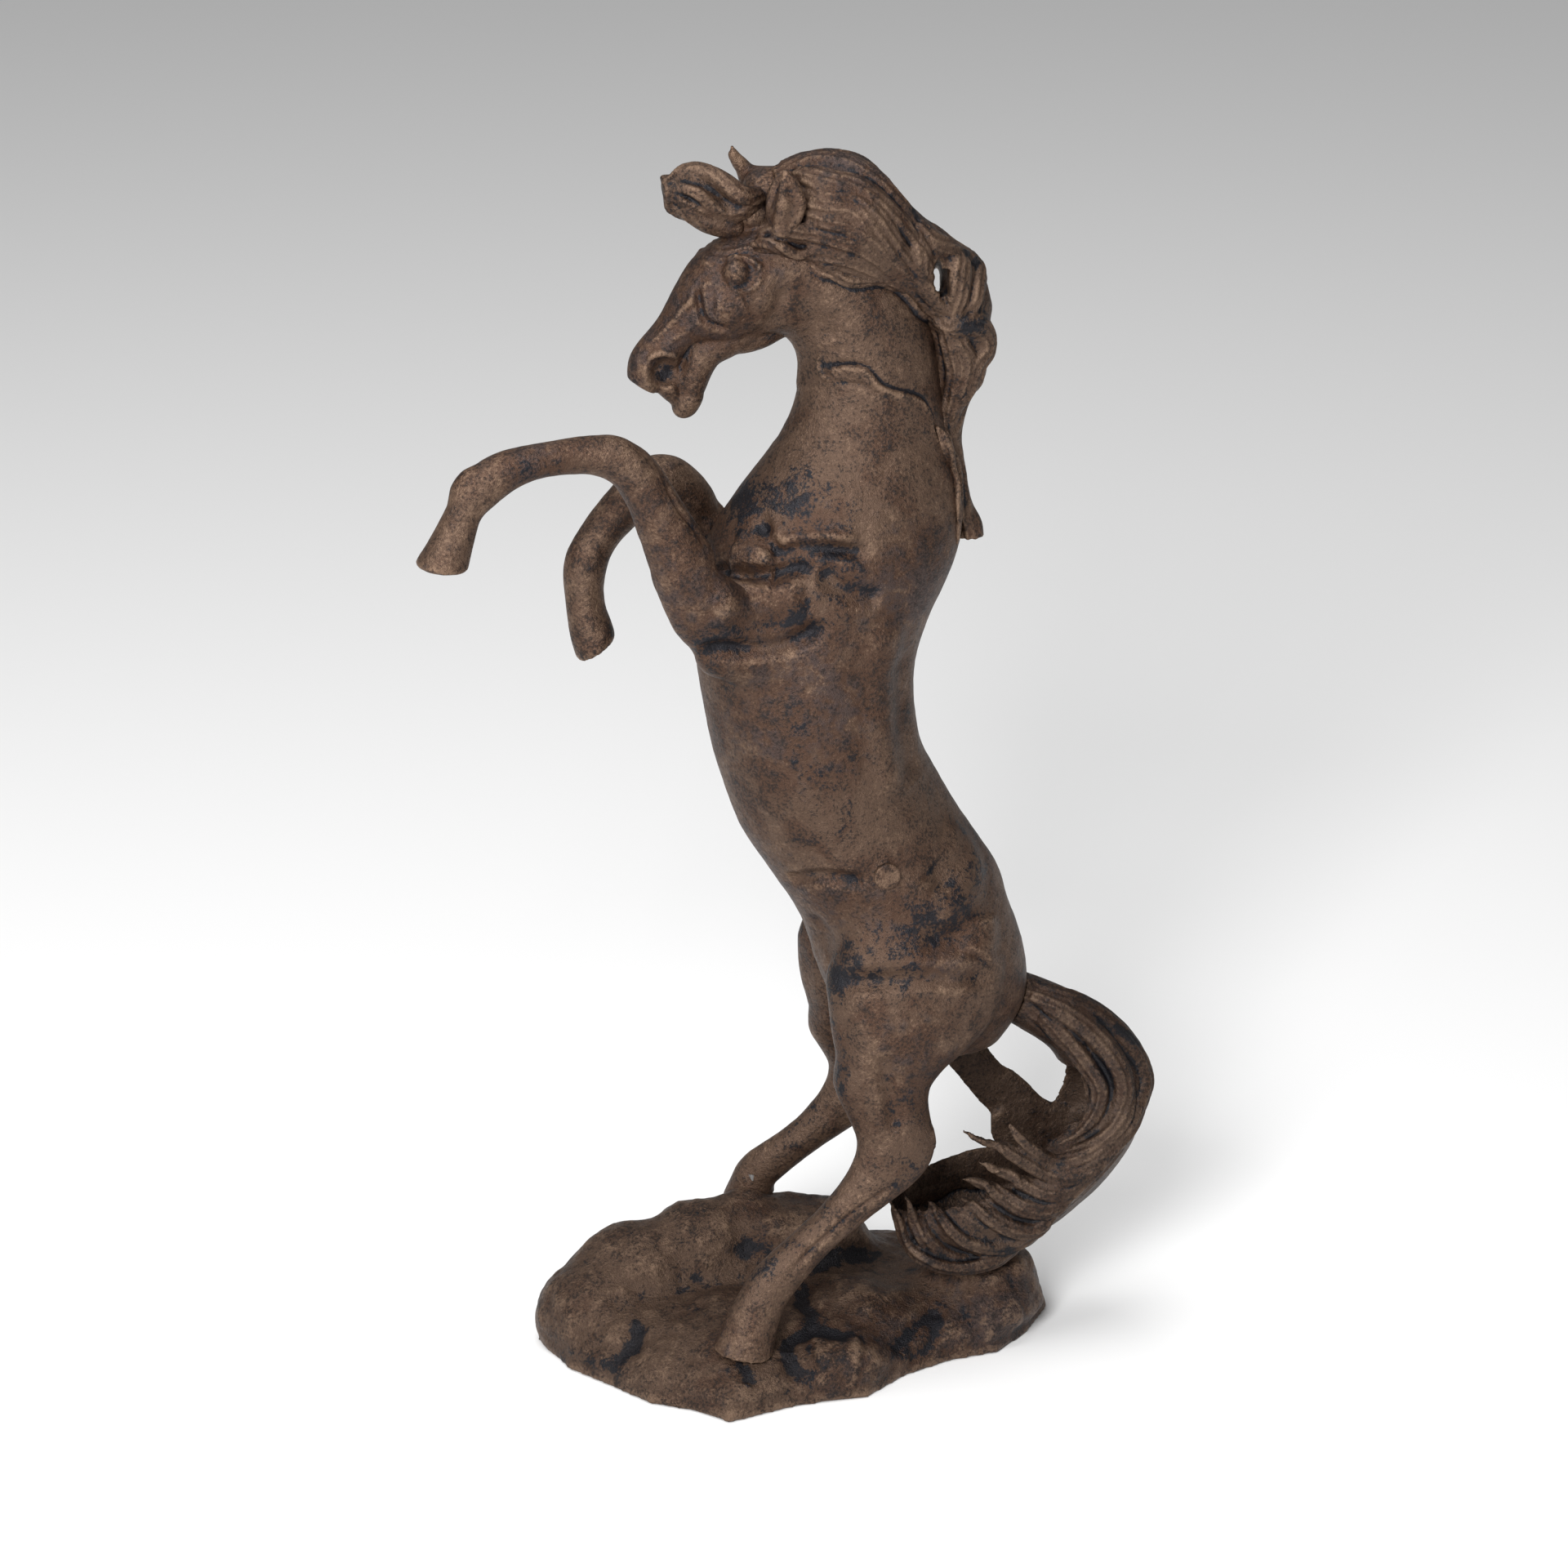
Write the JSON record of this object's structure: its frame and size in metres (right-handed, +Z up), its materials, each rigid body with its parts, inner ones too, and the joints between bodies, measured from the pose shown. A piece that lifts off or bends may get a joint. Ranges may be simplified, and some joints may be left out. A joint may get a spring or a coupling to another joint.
{
  "type": "horse statuette",
  "caption": "Rearing horse statuette cast in sections and pinned together, standing on a rock base with its long tail curling down to the rock.",
  "frame": {"origin": "on the standing plane, at the middle of the statuette's box in plan", "axes": "+Z up; the horse faces -X; its left side is towards -Y"},
  "size_m": [0.234, 0.102, 0.391],
  "materials": {
    "horse_patina": "cast bronze under a matt brown patina, dark wax in the hollows, rubbed lighter on the high spots",
    "hair_patina": "cast bronze under a matt brown patina, black in the grooves between the locks",
    "rock_patina": "sand cast bronze under a matt brown patina, grainy, black in the cracks",
    "screw_patina": "machine screw patinated with the horse",
    "fixing_steel": "plain steel studs, nuts, washers and pins"
  },
  "bodies": {
    "root": {"rock_base": "rock_patina", "left_body_shell": "horse_patina", "right_body_shell": "horse_patina", "neck_and_head": "horse_patina", "mane": "hair_patina", "forelock": "hair_patina", "left_forearm": "horse_patina", "left_foreleg": "horse_patina", "right_forearm": "horse_patina", "right_foreleg": "horse_patina", "left_hind_leg": "horse_patina", "right_hind_leg": "horse_patina", "tail": "hair_patina", "flank_screw": "screw_patina", "belly_peg": "fixing_steel", "back_peg": "fixing_steel", "neck_stud": "fixing_steel", "neck_washer": "fixing_steel", "neck_nut": "fixing_steel", "left_foreleg_pin": "fixing_steel", "left_shoulder_pin": "fixing_steel", "right_foreleg_pin": "fixing_steel", "right_shoulder_pin": "fixing_steel", "left_hip_pin": "fixing_steel", "right_hip_pin": "fixing_steel", "tail_pin": "fixing_steel", "mane_root_pin": "fixing_steel", "mane_crest_pin": "fixing_steel", "forelock_pin": "fixing_steel", "left_hoof_stud": "fixing_steel", "left_hoof_washer": "fixing_steel", "left_hoof_nut": "fixing_steel", "right_hoof_stud": "fixing_steel", "right_hoof_washer": "fixing_steel", "right_hoof_nut": "fixing_steel", "tail_foot_stud": "fixing_steel", "tail_foot_washer": "fixing_steel", "tail_foot_nut": "fixing_steel"}
  },
  "joints": []
}
